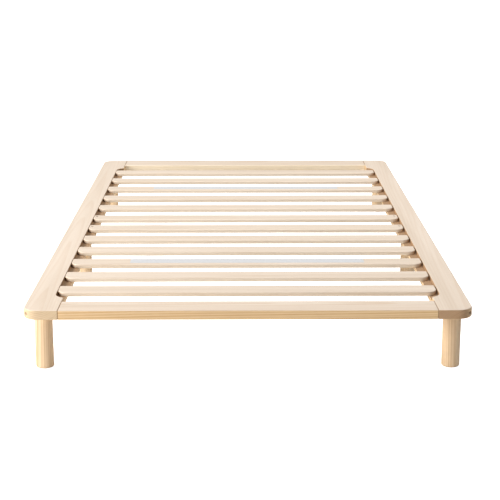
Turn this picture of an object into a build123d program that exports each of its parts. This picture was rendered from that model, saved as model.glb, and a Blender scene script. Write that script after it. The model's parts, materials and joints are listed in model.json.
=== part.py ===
from build123d import *
import os

# Low pine bed base. Two full-length side rails with rounded outer corners, a foot rail and a head
# rail butted between them, twelve slats lying in a rebate along each side rail, and six round
# legs that screw into the underside. Millimetres. The origin is on the floor, in the middle of
# the base: +X is the right-hand side seen from the foot, +Y runs towards the head end, +Z is up.

# ---- Driving dimensions: the whole base ----
BASE_WIDTH = 1150.0
BASE_LENGTH = 2110.0
BASE_HEIGHT = 188.0

# ---- Rails ----
RAIL_THICKNESS = 25.0
SIDE_RAIL_WIDTH = 91.0
END_RAIL_WIDTHS = {"foot": 84.0, "head": 108.0}
CORNER_RADIUS = 40.0
ARRIS_RADIUS = 3.0
JOINT_ARRIS = 2.0

# ---- Slats and the rebate that they lie in ----
SLAT_COUNT = 12
SLAT_WIDTH = 68.0
SLAT_THICKNESS = 11.0
CLOSE_PITCH = 144.0
WIDE_PITCH = 160.0
CLOSE_STEPS = 6
SLAT_FOOT_MARGIN = 164.0
SLAT_FRONT_CORNER = 28.0
SLAT_BACK_CORNER = 4.0
SLAT_ARRIS = 3.0
SLAT_UNDER_ARRIS = 1.0
SLAT_END_GAP = 1.5
SLAT_SHIFT = -1.0
LEDGE_WIDTH = 24.0
REBATE_END_RADIUS = 40.0
REBATE_END_GAP = 49.0
REBATE_ARRIS = 1.2

# ---- Legs, their studs and the inserts in the rails ----
LEG_DIAMETER = 48.0
LEG_INSET = 37.0
LEG_END_MARGIN = 115.0
LEG_TOP_ARRIS = 1.0
LEG_FOOT_ARRIS = 5.0
STUD_DIAMETER = 8.0
STUD_IN_RAIL = 14.0
STUD_IN_LEG = 36.0
STUD_POINT = 5.0
STUD_CHAMFER = 0.8
INSERT_DIAMETER = 13.0
INSERT_LENGTH = 15.0
INSERT_FLANGE_DIAMETER = 17.0
INSERT_FLANGE = 1.5
INSERT_HOLE_DEPTH = 16.0
RUNNING_GAP = 0.05

# ---- Corner joints: two bolts with barrel nuts and one dowel at each ----
BOLT_OFFSETS = (17.0, 60.0)
BOLT_DIAMETER = 6.0
BOLT_LENGTH = 100.0
BOLT_HEAD_DIAMETER = 10.0
BOLT_HEAD_HEIGHT = 6.0
BOLT_HEAD_RECESS = 38.0
BOLT_RECESS_DIAMETER = 11.0
BOLT_HOLE_DIAMETER = 6.6
BOLT_END_CLEARANCE = 4.0
HEX_SOCKET_RADIUS = 2.3
HEX_SOCKET_DEPTH = 3.0
HEAD_CHAMFER = 0.6
NUT_DIAMETER = 10.0
NUT_LENGTH = 16.0
NUT_SETBACK = 36.0
NUT_SLOT_WIDTH = 1.6
NUT_SLOT_DEPTH = 2.0
DOWEL_OFFSET = 42.0
DOWEL_DIAMETER = 8.0
DOWEL_LENGTH = 40.0
DOWEL_CHAMFER = 1.0
GLUE_GAP = 0.1

# ---- Slat fixings: screws in the two middle slats, pegs under the others ----
SCREWED_SLATS = (6, 7)
SCREW_HEAD_DIAMETER = 8.4
SCREW_HEAD_HEIGHT = 2.2
SCREW_RECESS_DIAMETER = 9.0
SCREW_RECESS_DEPTH = 3.0
SCREW_DIAMETER = 4.5
SCREW_IN_LEDGE = 11.0
SCREW_POINT = 3.0
SCREW_FROM_BACK_EDGE = 20.0
CROSS_LENGTH = 4.4
CROSS_WIDTH = 1.0
CROSS_DEPTH = 1.2
PEG_DIAMETER = 6.0
PEG_IN_LEDGE = 7.5
PEG_IN_SLAT = 6.5
PEG_CHAMFER = 0.8
PEG_HOLE_CLEARANCE = 0.5
PEG_SIDE_GAP = 0.4

# ---- Paper labels on two of the slats, blank ----
LABELLED_SLATS = {"label_head": 3, "label_foot": 10}
LABEL_LENGTH = 677.0
LABEL_WIDTH = 44.0
LABEL_THICKNESS = 0.3
LABEL_FROM_BACK_EDGE = 5.0

# ---- Places worked out from the driving dimensions ----
HALF_WIDTH = BASE_WIDTH / 2
HALF_LENGTH = BASE_LENGTH / 2
RAIL_UNDERSIDE = BASE_HEIGHT - RAIL_THICKNESS
RAIL_MIDDLE = BASE_HEIGHT - RAIL_THICKNESS / 2
LEDGE_TOP = BASE_HEIGHT - SLAT_THICKNESS
INNER_EDGE = HALF_WIDTH - SIDE_RAIL_WIDTH
SHOULDER = INNER_EDGE + LEDGE_WIDTH
SLAT_END = SHOULDER - SLAT_END_GAP
LEDGE_MIDDLE = INNER_EDGE + LEDGE_WIDTH / 2
LEG_X = HALF_WIDTH - LEG_INSET
SLAT_FIELD_FOOT = SLAT_FOOT_MARGIN - HALF_LENGTH
WIDE_STEPS = SLAT_COUNT - 1 - CLOSE_STEPS
SLAT_FIELD_LENGTH = CLOSE_STEPS * CLOSE_PITCH + WIDE_STEPS * WIDE_PITCH + SLAT_WIDTH
SLAT_FIELD_MIDDLE = SLAT_FIELD_FOOT + SLAT_FIELD_LENGTH / 2
REBATE_LENGTH = SLAT_FIELD_LENGTH + 2 * REBATE_END_GAP
REBATE_CUT_WIDTH = 3 * REBATE_END_RADIUS
BOLT_SEAT = HALF_WIDTH - BOLT_HEAD_RECESS
BOLT_TIP = BOLT_SEAT - BOLT_LENGTH
NUT_X = INNER_EDGE - NUT_SETBACK

SIDES = {"left": -1, "right": 1}
ENDS = {"foot": -1, "head": 1}
LEG_ROWS = {
    "foot": -HALF_LENGTH + LEG_END_MARGIN,
    "middle": SLAT_FIELD_MIDDLE,
    "head": HALF_LENGTH - LEG_END_MARGIN,
}


def slat_y(number):
    """Centre of a slat along the base. Slat 1 is nearest the head, slat 12 nearest the foot.

    The slats of the foot half lie closer together than those of the head half.
    """
    steps = SLAT_COUNT - number
    close_steps = min(steps, CLOSE_STEPS)
    reach = close_steps * CLOSE_PITCH + (steps - close_steps) * WIDE_PITCH
    return SLAT_FIELD_FOOT + SLAT_WIDTH / 2 + reach


def loose_slats():
    return [number for number in range(1, SLAT_COUNT + 1) if number not in SCREWED_SLATS]


def peg_points(side):
    """Where a side rail's pegs stand, one under the end of each loose slat."""
    return [(side * LEDGE_MIDDLE, slat_y(number)) for number in loose_slats()]


def screw_y(number):
    return slat_y(number) + SLAT_WIDTH / 2 - SCREW_FROM_BACK_EDGE


def screw_points(side):
    return [(side * LEDGE_MIDDLE, screw_y(number)) for number in SCREWED_SLATS]


def bolt_ys():
    """Both bolts of every corner, along the base."""
    return [end * (HALF_LENGTH - offset) for end in ENDS.values() for offset in BOLT_OFFSETS]


def dowel_ys():
    return [end * (HALF_LENGTH - DOWEL_OFFSET) for end in ENDS.values()]


def inward_plane(side, x):
    """A plane square to X at x, facing the middle of the base from that side.

    Its local X runs along the world's +Y, and its local Y runs up on the left side of the base
    and down on the right, so that holes on it are placed by (y, side-signed height).
    """
    return Plane(origin=(x, 0, RAIL_MIDDLE), x_dir=(0, 1, 0), z_dir=(-side, 0, 0))


# ---------------------------------------------------------------------------------------------
# Rails
# ---------------------------------------------------------------------------------------------
def side_rail(name, side):
    with BuildPart() as rail:
        with BuildSketch(Plane.XY.offset(RAIL_UNDERSIDE)) as outline:
            with Locations((side * (HALF_WIDTH - SIDE_RAIL_WIDTH / 2), 0)):
                Rectangle(SIDE_RAIL_WIDTH, BASE_LENGTH)
            outer = outline.vertices().group_by(Axis.X)[-1 if side > 0 else 0]
            fillet(outer, CORNER_RADIUS)
        extrude(amount=RAIL_THICKNESS)
        rims = rail.edges().group_by(Axis.Z)
        inner_line = side * INNER_EDGE
        rim = [edge for edge in rims[-1] + rims[0] if abs(edge.center().X - inner_line) > 1]
        fillet(rim, ARRIS_RADIUS)
        inner_face = rail.faces().sort_by(Axis.X)[0 if side > 0 else -1]
        fillet(inner_face.outer_wire().edges(), JOINT_ARRIS)

        # The rebate for the slats, open to the inside, with a rounded corner at each end.
        with BuildSketch(Plane.XY.offset(BASE_HEIGHT)):
            with Locations((side * (SHOULDER - REBATE_CUT_WIDTH / 2), SLAT_FIELD_MIDDLE)):
                RectangleRounded(REBATE_CUT_WIDTH, REBATE_LENGTH, REBATE_END_RADIUS)
        extrude(amount=-SLAT_THICKNESS, mode=Mode.SUBTRACT)

        # Peg holes and screw holes in the ledge.
        with BuildSketch(Plane.XY.offset(LEDGE_TOP)):
            with Locations(*peg_points(side)):
                Circle(PEG_DIAMETER / 2 + GLUE_GAP)
        extrude(amount=-(PEG_IN_LEDGE + PEG_HOLE_CLEARANCE), mode=Mode.SUBTRACT)
        with BuildSketch(Plane.XY.offset(LEDGE_TOP)):
            with Locations(*screw_points(side)):
                Circle(SCREW_DIAMETER / 2 + GLUE_GAP)
        extrude(amount=-SCREW_IN_LEDGE, mode=Mode.SUBTRACT)

        # Stepped holes in the underside for the leg inserts.
        leg_points = [(side * LEG_X, y) for y in LEG_ROWS.values()]
        with BuildSketch(Plane.XY.offset(RAIL_UNDERSIDE)):
            with Locations(*leg_points):
                Circle(INSERT_DIAMETER / 2 + GLUE_GAP)
        extrude(amount=INSERT_HOLE_DEPTH, mode=Mode.SUBTRACT)
        with BuildSketch(Plane.XY.offset(RAIL_UNDERSIDE)):
            with Locations(*leg_points):
                Circle(INSERT_FLANGE_DIAMETER / 2 + GLUE_GAP)
        extrude(amount=INSERT_FLANGE, mode=Mode.SUBTRACT)

        # Bolt holes right through the width, and the deep recesses for their heads.
        with BuildSketch(inward_plane(side, side * HALF_WIDTH)):
            with Locations(*[(y, 0) for y in bolt_ys()]):
                Circle(BOLT_HOLE_DIAMETER / 2)
        extrude(amount=SIDE_RAIL_WIDTH, mode=Mode.SUBTRACT)
        with BuildSketch(inward_plane(side, side * HALF_WIDTH)):
            with Locations(*[(y, 0) for y in bolt_ys()]):
                Circle(BOLT_RECESS_DIAMETER / 2)
        extrude(amount=BOLT_HEAD_RECESS, mode=Mode.SUBTRACT)
        with BuildSketch(inward_plane(side, side * INNER_EDGE)):
            with Locations(*[(y, 0) for y in dowel_ys()]):
                Circle(DOWEL_DIAMETER / 2 + GLUE_GAP)
        extrude(amount=-(DOWEL_LENGTH / 2 + PEG_HOLE_CLEARANCE), mode=Mode.SUBTRACT)

        # Softened edges along the rebate.
        tops = rail.edges().filter_by(lambda edge: abs(edge.center().Z - BASE_HEIGHT) < 0.01)
        rebate_rim = [
            edge for edge in tops
            if INNER_EDGE + JOINT_ARRIS + 0.1 < abs(edge.center().X) < SHOULDER + 0.01
        ]
        fillet(rebate_rim, REBATE_ARRIS)
    rail.part.label = name
    return rail.part


def end_rail(name, end):
    """The foot rail or the head rail, its ends square against the side rails."""
    width = END_RAIL_WIDTHS["head" if end > 0 else "foot"]
    with BuildPart() as rail:
        with BuildSketch(Plane.XY.offset(RAIL_UNDERSIDE)):
            with Locations((0, end * (HALF_LENGTH - width / 2))):
                Rectangle(2 * INNER_EDGE, width)
        extrude(amount=RAIL_THICKNESS)
        fillet(rail.edges().filter_by(Axis.X), ARRIS_RADIUS)
        for side in SIDES.values():
            with BuildSketch(inward_plane(side, side * INNER_EDGE)):
                with Locations(*[(end * (HALF_LENGTH - offset), 0) for offset in BOLT_OFFSETS]):
                    Circle(BOLT_HOLE_DIAMETER / 2)
            extrude(amount=INNER_EDGE - abs(BOLT_TIP) + BOLT_END_CLEARANCE, mode=Mode.SUBTRACT)
            with BuildSketch(inward_plane(side, side * INNER_EDGE)):
                with Locations((end * (HALF_LENGTH - DOWEL_OFFSET), 0)):
                    Circle(DOWEL_DIAMETER / 2 + GLUE_GAP)
            extrude(amount=DOWEL_LENGTH / 2 + PEG_HOLE_CLEARANCE, mode=Mode.SUBTRACT)
        with BuildSketch(Plane.XY.offset(RAIL_UNDERSIDE)):
            for side in SIDES.values():
                with Locations(*[(side * NUT_X, end * (HALF_LENGTH - y)) for y in BOLT_OFFSETS]):
                    Circle(NUT_DIAMETER / 2 + GLUE_GAP)
        extrude(amount=RAIL_THICKNESS / 2 + NUT_LENGTH / 2, mode=Mode.SUBTRACT)
        ends = rail.faces().sort_by(Axis.X)
        for butt in (ends[0], ends[-1]):
            fillet(butt.outer_wire().edges(), JOINT_ARRIS)
    rail.part.label = name
    return rail.part


# ---------------------------------------------------------------------------------------------
# Slats and labels
# ---------------------------------------------------------------------------------------------
def slat(name, number):
    centre = slat_y(number)
    with BuildPart() as board:
        with BuildSketch(Plane.XY.offset(LEDGE_TOP)) as outline:
            with Locations((SLAT_SHIFT, centre)):
                Rectangle(2 * SLAT_END, SLAT_WIDTH)
            rows = outline.vertices().group_by(Axis.Y)
            fillet(rows[0], SLAT_FRONT_CORNER)
            fillet(outline.vertices().group_by(Axis.Y)[-1], SLAT_BACK_CORNER)
        extrude(amount=SLAT_THICKNESS)
        rims = board.edges().group_by(Axis.Z)
        fillet(rims[-1], SLAT_ARRIS)
        fillet(board.edges().group_by(Axis.Z)[0], SLAT_UNDER_ARRIS)
        if number in SCREWED_SLATS:
            points = [(side * LEDGE_MIDDLE, screw_y(number)) for side in SIDES.values()]
            with Locations(*[(x, y, BASE_HEIGHT) for x, y in points]):
                CounterBoreHole(
                    radius=SCREW_DIAMETER / 2 + GLUE_GAP,
                    counter_bore_radius=SCREW_RECESS_DIAMETER / 2,
                    counter_bore_depth=SCREW_RECESS_DEPTH,
                    depth=SLAT_THICKNESS,
                )
        else:
            with BuildSketch(Plane.XY.offset(LEDGE_TOP)):
                with Locations(*[(side * LEDGE_MIDDLE, centre) for side in SIDES.values()]):
                    Circle(PEG_DIAMETER / 2 + PEG_SIDE_GAP)
            extrude(amount=PEG_IN_SLAT + PEG_HOLE_CLEARANCE, mode=Mode.SUBTRACT)
    board.part.label = name
    return board.part


def label(name, number):
    """A blank strip of paper stuck on a slat's top, nearer its head-side edge."""
    centre = slat_y(number) + SLAT_WIDTH / 2 - LABEL_FROM_BACK_EDGE - LABEL_WIDTH / 2
    with BuildPart() as strip:
        with BuildSketch(Plane.XY.offset(BASE_HEIGHT)):
            with Locations((0, centre)):
                Rectangle(LABEL_LENGTH, LABEL_WIDTH)
        extrude(amount=LABEL_THICKNESS)
    strip.part.label = name
    return strip.part


# ---------------------------------------------------------------------------------------------
# Legs
# ---------------------------------------------------------------------------------------------
def leg(name, x, y):
    with BuildPart() as post:
        with BuildSketch(Plane.XY):
            with Locations((x, y)):
                Circle(LEG_DIAMETER / 2)
        extrude(amount=RAIL_UNDERSIDE)
        fillet(post.edges().group_by(Axis.Z)[-1], LEG_TOP_ARRIS)
        fillet(post.edges().group_by(Axis.Z)[0], LEG_FOOT_ARRIS)
        with BuildSketch(Plane.XY.offset(RAIL_UNDERSIDE)):
            with Locations((x, y)):
                Circle(STUD_DIAMETER / 2 + GLUE_GAP)
        extrude(amount=-(STUD_IN_LEG + PEG_HOLE_CLEARANCE), mode=Mode.SUBTRACT)
    post.part.label = name
    return post.part


def leg_stud(name, x, y):
    """A hanger bolt: its pointed end is fixed in the leg, its plain end screws into the rail."""
    radius = STUD_DIAMETER / 2
    with BuildPart() as stud:
        with BuildSketch(Plane((x, y, 0), x_dir=(1, 0, 0), z_dir=(0, -1, 0))):
            with BuildLine():
                tip = RAIL_UNDERSIDE - STUD_IN_LEG
                top = RAIL_UNDERSIDE + STUD_IN_RAIL
                Polyline(
                    (0, tip),
                    (radius, tip + STUD_POINT),
                    (radius, top - STUD_CHAMFER),
                    (radius - STUD_CHAMFER, top),
                    (0, top),
                    close=True,
                )
            make_face()
        revolve(axis=Axis((x, y, 0), (0, 0, 1)))
    stud.part.label = name
    return stud.part


def leg_inserts(name):
    """Six flanged bushes with an internal thread, sunk flush in the rails' undersides."""
    points = [(side * LEG_X, y) for side in SIDES.values() for y in LEG_ROWS.values()]
    with BuildPart() as inserts:
        with BuildSketch(Plane.XY.offset(RAIL_UNDERSIDE)):
            with Locations(*points):
                Circle(INSERT_FLANGE_DIAMETER / 2)
        extrude(amount=INSERT_FLANGE)
        with BuildSketch(Plane.XY.offset(RAIL_UNDERSIDE)):
            with Locations(*points):
                Circle(INSERT_DIAMETER / 2)
        extrude(amount=INSERT_LENGTH)
        with BuildSketch(Plane.XY.offset(RAIL_UNDERSIDE)):
            with Locations(*points):
                Circle(STUD_DIAMETER / 2 + RUNNING_GAP)
        extrude(amount=INSERT_LENGTH, mode=Mode.SUBTRACT)
    inserts.part.label = name
    return inserts.part


# ---------------------------------------------------------------------------------------------
# Corner hardware
# ---------------------------------------------------------------------------------------------
def corner_bolts(name, side, end):
    """A corner's two cap screws, heads deep in the side rail and tips in the end rail."""
    ys = [end * (HALF_LENGTH - offset) for offset in BOLT_OFFSETS]
    spots = [(y, 0) for y in ys]
    with BuildPart() as bolts:
        with BuildSketch(inward_plane(side, side * (BOLT_SEAT + BOLT_HEAD_HEIGHT))):
            with Locations(*spots):
                Circle(BOLT_HEAD_DIAMETER / 2)
        extrude(amount=BOLT_HEAD_HEIGHT)
        chamfer(bolts.edges().group_by(Axis.X)[-1 if side > 0 else 0], HEAD_CHAMFER)
        with BuildSketch(inward_plane(side, side * BOLT_SEAT)):
            with Locations(*spots):
                Circle(BOLT_DIAMETER / 2)
        extrude(amount=BOLT_LENGTH)
        chamfer(bolts.edges().group_by(Axis.X)[0 if side > 0 else -1], HEAD_CHAMFER)
        with BuildSketch(inward_plane(side, side * (BOLT_SEAT + BOLT_HEAD_HEIGHT))):
            with Locations(*spots):
                RegularPolygon(HEX_SOCKET_RADIUS, 6)
        extrude(amount=HEX_SOCKET_DEPTH, mode=Mode.SUBTRACT)
    bolts.part.label = name
    return bolts.part


def barrel_nuts(name, side, end):
    """A corner's two cross dowels, standing in the end rail with a screwdriver slot below."""
    spots = [(side * NUT_X, end * (HALF_LENGTH - offset)) for offset in BOLT_OFFSETS]
    nut_bottom = RAIL_MIDDLE - NUT_LENGTH / 2
    with BuildPart() as nuts:
        with BuildSketch(Plane.XY.offset(nut_bottom)):
            with Locations(*spots):
                Circle(NUT_DIAMETER / 2)
        extrude(amount=NUT_LENGTH)
        with BuildSketch(Plane.XY.offset(nut_bottom)):
            with Locations(*spots):
                Rectangle(NUT_DIAMETER + 1, NUT_SLOT_WIDTH)
        extrude(amount=NUT_SLOT_DEPTH, mode=Mode.SUBTRACT)
        with BuildSketch(inward_plane(side, side * (NUT_X + NUT_DIAMETER))):
            with Locations(*[(y, 0) for x, y in spots]):
                Circle(BOLT_DIAMETER / 2 + GLUE_GAP)
        extrude(amount=2 * NUT_DIAMETER, mode=Mode.SUBTRACT)
    nuts.part.label = name
    return nuts.part


def corner_dowels(name):
    """Four wooden dowels, one in each corner joint, half in each rail."""
    with BuildPart() as dowels:
        for side in SIDES.values():
            start = side * (INNER_EDGE + DOWEL_LENGTH / 2)
            with BuildSketch(inward_plane(side, start)):
                with Locations(*[(y, 0) for y in dowel_ys()]):
                    Circle(DOWEL_DIAMETER / 2)
            extrude(amount=DOWEL_LENGTH)
        rounds = dowels.edges().filter_by(GeomType.CIRCLE)
        chamfer(rounds, DOWEL_CHAMFER)
    dowels.part.label = name
    return dowels.part


# ---------------------------------------------------------------------------------------------
# Slat fixings
# ---------------------------------------------------------------------------------------------
def slat_screws(name, number):
    """The two screws of a fixed slat, one at each end, with a cross recess in the head."""
    seat = BASE_HEIGHT - SCREW_RECESS_DEPTH
    radius = SCREW_DIAMETER / 2
    tip = LEDGE_TOP - SCREW_IN_LEDGE
    y = screw_y(number)
    with BuildPart() as screws:
        for side in SIDES.values():
            x = side * LEDGE_MIDDLE
            with BuildSketch(Plane((x, y, 0), x_dir=(1, 0, 0), z_dir=(0, -1, 0))):
                with BuildLine():
                    Polyline(
                        (0, tip + GLUE_GAP),
                        (radius, tip + SCREW_POINT),
                        (radius, seat),
                        (SCREW_HEAD_DIAMETER / 2, seat),
                        (SCREW_HEAD_DIAMETER / 2, seat + SCREW_HEAD_HEIGHT - HEAD_CHAMFER),
                        (SCREW_HEAD_DIAMETER / 2 - HEAD_CHAMFER, seat + SCREW_HEAD_HEIGHT),
                        (0, seat + SCREW_HEAD_HEIGHT),
                        close=True,
                    )
                make_face()
            revolve(axis=Axis((x, y, 0), (0, 0, 1)))
            with BuildSketch(Plane.XY.offset(seat + SCREW_HEAD_HEIGHT)):
                with Locations((x, y)):
                    Rectangle(CROSS_LENGTH, CROSS_WIDTH)
                    Rectangle(CROSS_WIDTH, CROSS_LENGTH)
            extrude(amount=-CROSS_DEPTH, mode=Mode.SUBTRACT)
    screws.part.label = name
    return screws.part


def slat_pegs(name):
    """Short pegs glued into the ledges, which keep the loose slats in their places."""
    points = [point for side in SIDES.values() for point in peg_points(side)]
    with BuildPart() as pegs:
        with BuildSketch(Plane.XY.offset(LEDGE_TOP - PEG_IN_LEDGE)):
            with Locations(*points):
                Circle(PEG_DIAMETER / 2)
        extrude(amount=PEG_IN_LEDGE + PEG_IN_SLAT)
        chamfer(pegs.edges().group_by(Axis.Z)[-1], PEG_CHAMFER)
    pegs.part.label = name
    return pegs.part


# ---------------------------------------------------------------------------------------------
# The whole base
# ---------------------------------------------------------------------------------------------
def all_parts():
    parts = [
        side_rail("side_rail_left", SIDES["left"]),
        side_rail("side_rail_right", SIDES["right"]),
        end_rail("foot_rail", ENDS["foot"]),
        end_rail("head_rail", ENDS["head"]),
    ]
    for number in range(1, SLAT_COUNT + 1):
        parts.append(slat(f"slat_{number:02d}", number))
    for name, number in LABELLED_SLATS.items():
        parts.append(label(name, number))
    for row, y in LEG_ROWS.items():
        for side_name, side in SIDES.items():
            parts.append(leg(f"leg_{row}_{side_name}", side * LEG_X, y))
            parts.append(leg_stud(f"leg_stud_{row}_{side_name}", side * LEG_X, y))
    parts.append(leg_inserts("leg_inserts"))
    for end_name, end in ENDS.items():
        for side_name, side in SIDES.items():
            parts.append(corner_bolts(f"corner_bolts_{end_name}_{side_name}", side, end))
            parts.append(barrel_nuts(f"barrel_nuts_{end_name}_{side_name}", side, end))
    parts.append(corner_dowels("corner_dowels"))
    for number in SCREWED_SLATS:
        parts.append(slat_screws(f"slat_screws_{number:02d}", number))
    parts.append(slat_pegs("slat_pegs"))
    return parts


os.makedirs("parts", exist_ok=True)
for piece in all_parts():
    export_step(piece, f"parts/{piece.label}.step")
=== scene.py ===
import json
import math

import bpy
from bpy.props import FloatProperty, FloatVectorProperty, IntProperty, PointerProperty
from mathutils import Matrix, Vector

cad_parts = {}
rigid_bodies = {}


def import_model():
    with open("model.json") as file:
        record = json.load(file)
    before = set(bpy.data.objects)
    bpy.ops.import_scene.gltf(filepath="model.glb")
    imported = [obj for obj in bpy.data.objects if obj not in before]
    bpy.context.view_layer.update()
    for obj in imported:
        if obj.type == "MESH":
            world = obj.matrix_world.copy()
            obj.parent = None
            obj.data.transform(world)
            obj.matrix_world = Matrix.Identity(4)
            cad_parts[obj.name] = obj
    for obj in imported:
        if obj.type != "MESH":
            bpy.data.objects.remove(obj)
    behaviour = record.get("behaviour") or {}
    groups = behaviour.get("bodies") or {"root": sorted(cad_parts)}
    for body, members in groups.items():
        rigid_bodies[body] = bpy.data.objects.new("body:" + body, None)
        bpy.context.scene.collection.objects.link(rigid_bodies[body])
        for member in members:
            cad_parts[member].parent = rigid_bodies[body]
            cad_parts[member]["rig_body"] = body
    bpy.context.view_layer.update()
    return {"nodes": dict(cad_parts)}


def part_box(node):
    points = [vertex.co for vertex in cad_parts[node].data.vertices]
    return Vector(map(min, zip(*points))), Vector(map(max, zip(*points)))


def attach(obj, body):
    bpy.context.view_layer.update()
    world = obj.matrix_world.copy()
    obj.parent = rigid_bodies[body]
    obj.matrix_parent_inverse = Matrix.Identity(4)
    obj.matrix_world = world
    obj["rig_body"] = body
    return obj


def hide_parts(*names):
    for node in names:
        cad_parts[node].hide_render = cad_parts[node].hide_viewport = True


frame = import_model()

bl_info = {
    "name": "Slatted Pine Bed Base",
    "version": (1, 0, 0),
    "blender": (4, 5, 0),
    "location": "3D View > Sidebar > Bed Base",
    "description": "Gives a low slatted bed base its pine, hardware, labels and studio",
    "category": "Object",
}

# ---------------------------------------------------------------------------------------------
# What the frame says: names, sizes and places, in metres
# ---------------------------------------------------------------------------------------------
BODY_OF = {node: ob["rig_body"] for node, ob in frame["nodes"].items()}
SLAT_NAMES = sorted(name for name in frame["nodes"] if name[:5] == "slat_" and name[5:].isdigit())
SCREW_NAMES = sorted(name for name in frame["nodes"] if name.startswith("slat_screws_"))
LABEL_NAMES = sorted(name for name in frame["nodes"] if name.startswith("label_"))
STUD_NAMES = sorted(name for name in frame["nodes"] if name.startswith("leg_stud_"))
LEG_NAMES = [name.replace("leg_stud_", "leg_") for name in STUD_NAMES]
BOLT_NAMES = sorted(name for name in frame["nodes"] if name.startswith("corner_bolts_"))
NUT_NAMES = sorted(name for name in frame["nodes"] if name.startswith("barrel_nuts_"))
RAIL_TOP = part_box("foot_rail")[1].z
LEDGE_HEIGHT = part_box("slat_01")[0].z
SLAT_REACH = max(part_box("slat_01")[1].x, -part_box("slat_01")[0].x)
MM = 0.001

# Places of the rails' raw milled wood, darkened further as painted shade in the rebates and beside the
# butted ends, measured from the slats and from the rails' faces.
REBATE_SLACK = 3.0 * MM
REBATE_END_GAP = 50.0 * MM
TOP_SKIN = 0.6 * MM
LEDGE_SKIN = 0.3 * MM
SEAM_DARK = 0.6 * MM
SEAM_CLEAR = 1.5 * MM
SEAM_START = 1.0 * MM

# Pale and dark wood of edges that differ from the settings, and the pale end grain of one rail. The edge
# colours are painted light: the head rail's is a paler copy, painted brighter light on its sides, and the
# slats' is their painted warm bounce copy; the turned legs wear theirs all over.
HEAD_RAIL_LIT_EDGE = ((0.93, 0.80, 0.61), (0.86, 0.70, 0.49))
SLAT_BOUNCE_EDGE = ((0.80, 0.69, 0.53), (0.73, 0.59, 0.43))
TURNED_EDGE = ((0.80, 0.61, 0.41), (0.61, 0.41, 0.22))
PALE_END = (0.68, 0.52, 0.34)

# Finishes of the metal parts: colour, roughness and how metallic.
METALS = {
    "zinc_plate": ((0.72, 0.73, 0.74), 0.32, 1.0),
    "black_oxide": ((0.05, 0.045, 0.04), 0.45, 0.6),
}

FLOOR_HALF = 30.0
FLOOR_GREY = (0.80, 0.80, 0.80, 1.0)


def box_centre(node):
    low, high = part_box(node)
    return (low + high) / 2


def box_size(node):
    low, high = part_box(node)
    return high - low


# ---------------------------------------------------------------------------------------------
# Settings
# ---------------------------------------------------------------------------------------------
class PineSettings(bpy.types.PropertyGroup):
    """Colours and figure of the pine, with painted light: a paler copy of the wood on upper faces as
    painted sheen and a deeper amber copy on the sides as painted warm bounce light.
    """

    # Painted sheen: the face colours are a paler copy of the wood for upper faces.
    sheen_face_early: FloatVectorProperty(
        name="Sheen Face Early Wood", description="Pale wood between the rings on upper faces",
        subtype="COLOR", size=3, min=0, max=1, default=(0.780, 0.668, 0.555))
    sheen_face_late: FloatVectorProperty(
        name="Sheen Face Late Wood", description="Darker wood of the rings on upper faces",
        subtype="COLOR", size=3, min=0, max=1, default=(0.700, 0.555, 0.425))
    # Painted warm bounce light: the edge colours are a deeper amber copy of the wood for the sides.
    warm_bounce_edge_early: FloatVectorProperty(
        name="Warm Bounce Edge Early Wood", description="Pale wood between the rings on edges and turned wood",
        subtype="COLOR", size=3, min=0, max=1, default=(0.770, 0.555, 0.320))
    warm_bounce_edge_late: FloatVectorProperty(
        name="Warm Bounce Edge Late Wood", description="Darker wood of the rings on edges and turned wood",
        subtype="COLOR", size=3, min=0, max=1, default=(0.600, 0.365, 0.165))
    end_early: FloatVectorProperty(
        name="End Early Wood", description="Pale wood between the rings on end grain",
        subtype="COLOR", size=3, min=0, max=1, default=(0.520, 0.340, 0.200))
    end_late: FloatVectorProperty(
        name="End Late Wood", description="Darker wood of the rings on end grain",
        subtype="COLOR", size=3, min=0, max=1, default=(0.270, 0.140, 0.065))
    ring_width: FloatProperty(
        name="Ring Width", description="Distance between two year rings",
        unit="LENGTH", min=0.001, max=0.02, default=0.0048)
    roughness: FloatProperty(
        name="Roughness", description="Roughness of the clear matt lacquer",
        subtype="FACTOR", min=0, max=1, default=0.48)


class SlatSettings(bpy.types.PropertyGroup):
    """Shape of a slat."""

    foot_corner: FloatProperty(
        name="Foot Corner", description="Radius of the two corners on a slat's foot side",
        unit="LENGTH", min=0.001, max=0.03, default=0.028)
    head_corner: FloatProperty(
        name="Head Corner", description="Radius of the two corners on a slat's head side",
        unit="LENGTH", min=0.001, max=0.03, default=0.004)
    arris: FloatProperty(
        name="Arris", description="Radius of a slat's upper edges",
        unit="LENGTH", min=0.0002, max=0.004, default=0.003)
    under_arris: FloatProperty(
        name="Under Arris", description="Radius of a slat's lower edges",
        unit="LENGTH", min=0.0002, max=0.004, default=0.001)
    corner_steps: IntProperty(
        name="Corner Steps", description="Points along each rounded corner",
        min=2, max=32, default=14)


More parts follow.
